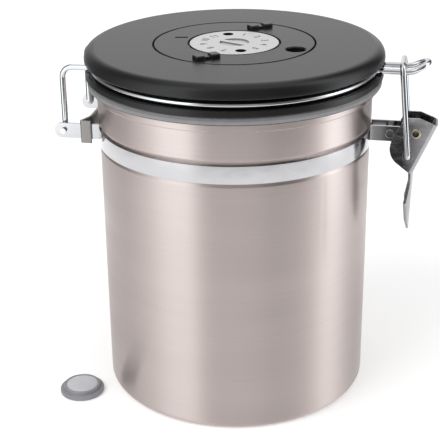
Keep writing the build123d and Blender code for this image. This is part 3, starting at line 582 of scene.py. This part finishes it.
def hang_card(card, paint):
    """Gives a card its paint and keeps it for reflections alone."""
    card.name = paint.name
    card.data.materials.append(paint)
    card.visible_camera = False
    card.visible_diffuse = False
    card.visible_shadow = False
    card.visible_transmission = False


print("bright cards have", COOL_RED, "of the red light")

# %% [markdown]
# The bands run straight down to the foot of the can, so paler cards go on below the floor. That is what a
# pale, slightly shiny table would show there.

# %% Standing rings of cards
RING_SIDES = 96
CARD_RADIUS = 0.60
CARD_HIGH = 1.1
CARD_LOW = -1.0
LOW_SHARE, LOW_MIDDLE = 0.25, 1.05
LEAST_LEVEL = 0.02
CARD_STOPS = [
    (-180, 0.28), (-172, 0.40), (-152, 1.05), (-137, 1.85), (-117, 1.95), (-108, 0.80), (-103, 0.42),
    (-66, 0.38), (-50, 0.16), (-32, 0.16), (-20, 0.36), (-11, 1.15), (-1, 2.4), (10, 2.1), (20, 0.95),
    (32, 0.28), (44, 0.08), (56, 0.10), (66, 0.60), (80, 1.0), (114, 1.0), (132, 0.50), (150, 0.24),
    (167, 0.20), (180, 0.28),
]


def with_contrast(stops_by_angle, share, middle):
    """The same bands with more or less contrast round a middle level."""
    return [(angle, max(LEAST_LEVEL, middle + share * (level - 1))) for angle, level in stops_by_angle]


def angle_paint(name, stops_by_angle):
    """Card paint from a list of degrees round the can and levels."""
    stops = [((angle + 180) / 360, level) for angle, level in stops_by_angle]
    return card_paint(name, stops, ROUND_THE_CAN, by_angle=True)


def standing_ring(name, low, high, stops_by_angle):
    """Upright ring of cards round the can."""
    bpy.ops.object.select_all(action="DESELECT")
    bpy.ops.mesh.primitive_cylinder_add(
        vertices=RING_SIDES, radius=CARD_RADIUS, depth=high - low, end_fill_type="NOTHING",
        location=(0, 0, (high + low) / 2))
    ring = bpy.context.object
    bpy.ops.object.transform_apply(location=True)
    hang_card(ring, angle_paint(name, stops_by_angle))
    print(name, "from", low, "to", high, "m, stops:", len(stops_by_angle))


standing_ring("room_cards", 0.0, CARD_HIGH, CARD_STOPS)
standing_ring("low_cards", CARD_LOW, 0.0, with_contrast(CARD_STOPS, LOW_SHARE, LOW_MIDDLE))

# %% [markdown]
# The polished neck band mirrors a narrow strip of the table in front of it, nearly white all the way round.
# Further out the table ends and the room is dark: only the lid, the wires and the clasp stand high enough
# to mirror that part. So two flat rings lie there, a white one and one with the same bands as the cards.

# %% Flat rings of cards
WHITE_INSIDE = 0.20
WHITE_OUTSIDE = 0.41
WHITE_LEVEL = 1.35
EDGE_SHARE, EDGE_MIDDLE = 1.2, 0.9
RING_HEIGHT = 1 * MM


def flat_ring(name, inside, outside, stops_by_angle):
    """Flat ring of cards on the table."""
    bpy.ops.object.select_all(action="DESELECT")
    bpy.ops.mesh.primitive_circle_add(
        vertices=RING_SIDES, radius=outside, fill_type="NGON", location=(0, 0, RING_HEIGHT))
    ring = bpy.context.object
    bpy.ops.object.transform_apply(location=True)
    bpy.ops.object.mode_set(mode="EDIT")
    bpy.ops.mesh.select_all(action="SELECT")
    bpy.ops.mesh.inset(thickness=outside - inside)
    bpy.ops.mesh.delete(type="FACE")
    bpy.ops.object.mode_set(mode="OBJECT")
    hang_card(ring, angle_paint(name, stops_by_angle))
    print(name, "from", inside, "to", outside, "m, faces:", len(ring.data.polygons))


flat_ring("white_table_ring", WHITE_INSIDE, WHITE_OUTSIDE, [(-180, WHITE_LEVEL), (180, WHITE_LEVEL)])
flat_ring("table_edge_cards", WHITE_OUTSIDE, CARD_RADIUS, with_contrast(CARD_STOPS, EDGE_SHARE, EDGE_MIDDLE))

# %% [markdown]
# The clasp's flat plates mirror one small place in front of them. A dark card there, paler to its right,
# gives the lever its deep grey that runs out to light at its outer edge. A round mirror shows a small
# camera behind its surface, and the card's plane goes through that image in the neck band. So the band's
# mirror rays pass along the card, and the band and the can don't show it.

# %% Card for the clasp
CLASP_CARD_LOW = Vector((0.060, -0.0419, 0.0793))
CLASP_CARD_HIGH = Vector((0.096, -0.0419, 0.1178))
CLASP_CARD_STOPS = [
    (0.0, 0.36), (0.14, 0.33), (0.22, 0.06), (0.46, 0.04), (0.53, 0.14), (0.59, 0.50), (0.74, 0.85), (1.0, 0.95),
]
bpy.ops.object.select_all(action="DESELECT")
bpy.ops.mesh.primitive_plane_add(size=1.0)
clasp_card = bpy.context.object
card_size = CLASP_CARD_HIGH - CLASP_CARD_LOW
clasp_card.data.transform(
    Matrix.Translation((CLASP_CARD_LOW + CLASP_CARD_HIGH) / 2)
    @ Matrix.Rotation(math.radians(90), 4, "X") @ Matrix.Diagonal((card_size.x, card_size.z, 1, 1)))
hang_card(clasp_card, card_paint("clasp_card", CLASP_CARD_STOPS, (CLASP_CARD_LOW.x, CLASP_CARD_HIGH.x)))
print("clasp card in mm:", [round(x / MM) for x in card_size])

# %% [markdown]
# ## The room and its lamps
# The room is white where it is seen and a little dimmer as a light. A large soft lamp from the front left
# and a weaker one from the right shape the plastic. Reflections don't see them, as the cards stand for
# them there.

# %% Room and lamps
ROOM_LIGHT = 0.72
LAMP_SIZE = 1.2
LAMP_AIM = Vector((0, 0, 0.08))
world = bpy.data.worlds.new("white_room")
bpy.context.scene.world = world
world.use_nodes = True
tree = world.node_tree
tree.nodes.clear()
strength = shader_node(tree, "ShaderNodeMapRange", {
    "Value": seen_directly(tree), "To Min": ROOM_LIGHT, "To Max": 1.0})
room = shader_node(tree, "ShaderNodeBackground", {"Color": WHITE, "Strength": strength.outputs["Result"]})
shader_node(tree, "ShaderNodeOutputWorld", {"Surface": room.outputs["Background"]})


def soft_lamp(name, place, watts):
    """Square soft lamp that points at the can."""
    bpy.ops.object.select_all(action="DESELECT")
    bpy.ops.object.light_add(type="AREA", location=place)
    lamp = bpy.context.object
    lamp.name = name
    lamp.data.size = LAMP_SIZE
    lamp.data.energy = watts
    lamp.rotation_mode = "QUATERNION"
    lamp.rotation_quaternion = (Vector(place) - LAMP_AIM).to_track_quat("Z", "Y")
    lamp.visible_glossy = False
    print(name, watts, "W")


soft_lamp("key_lamp", (-0.9, -1.0, 1.5), 14)
soft_lamp("fill_lamp", (1.3, -0.7, 1.1), 6)
